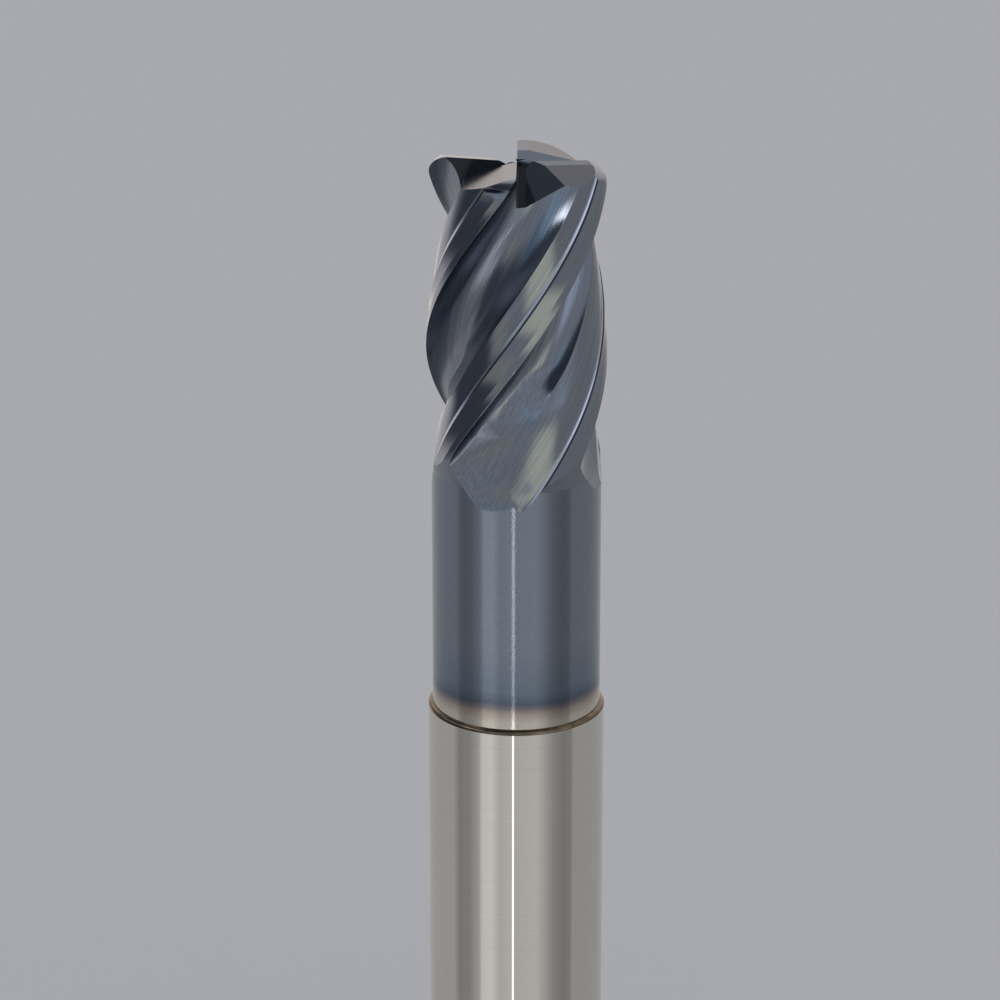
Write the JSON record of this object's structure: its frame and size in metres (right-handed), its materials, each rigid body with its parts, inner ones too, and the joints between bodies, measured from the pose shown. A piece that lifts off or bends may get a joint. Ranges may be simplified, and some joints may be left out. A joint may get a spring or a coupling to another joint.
{
  "type": "end mill",
  "caption": "Square-shouldered corner-radius end mill: helical-flute coated carbide head and slim neck, brazed into a plain round cylindrical shank, cutting end up.",
  "frame": {"origin": "centre of the rear end face of the shank, which the tool stands on", "axes": "+Z along the tool axis from the shank end to the cutting tip; +X across the tool, 3.5 degrees ahead of the first end edge; +Y away from the viewer"},
  "size_m": [0.012, 0.012, 0.083],
  "materials": {
    "coated_carbide": "dark blue-grey vapour-deposited coating, polished with fine grinding lines",
    "braze_alloy": "bronze-coloured braze fillet, satin",
    "ground_shank": "fine-ground and polished bare metal"
  },
  "bodies": {
    "root": {"cutting_head": "coated_carbide", "braze_joint": "braze_alloy", "shank": "ground_shank"}
  },
  "joints": []
}
